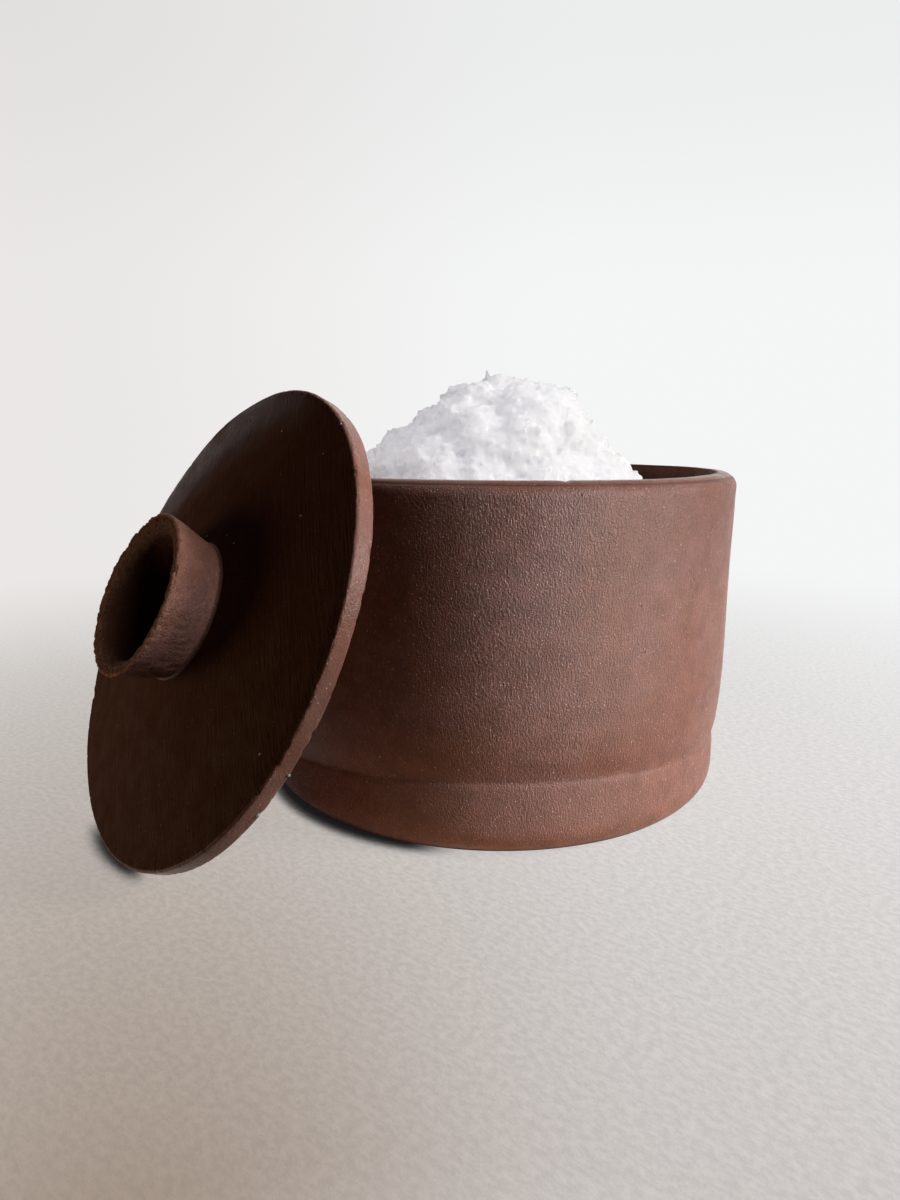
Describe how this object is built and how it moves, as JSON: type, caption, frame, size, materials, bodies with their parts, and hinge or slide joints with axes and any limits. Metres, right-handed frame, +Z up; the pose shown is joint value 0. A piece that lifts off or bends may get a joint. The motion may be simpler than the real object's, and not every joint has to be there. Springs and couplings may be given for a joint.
{
  "type": "lidded salt cellar",
  "caption": "Straight unglazed stoneware salt cellar on a stepped foot, heaped with salt. Its shallow conical lid, with a hollow ring knob, leans on the rim and lifts off.",
  "frame": {"origin": "centre of the pot's flat underside, on the table", "axes": "+Z up along the pot's axis, -Y towards the viewer of the picture, +X to the viewer's right; the lid leans on the pot's front left"},
  "size_m": [0.1303, 0.1213, 0.0834],
  "materials": {
    "pot_clay": "matte",
    "lid_clay": "matte",
    "knob_clay": "matte",
    "salt": "matte"
  },
  "bodies": {
    "pot": {"pot": "pot_clay", "salt_heap": "salt"},
    "lid": {"lid_disc": "lid_clay", "lid_knob": "knob_clay"}
  },
  "joints": [
    {"name": "lid_lift", "type": "slide", "parent": "pot", "child": "lid", "axis": [0, 0, 1], "range_m": [0, 0.1]}
  ]
}
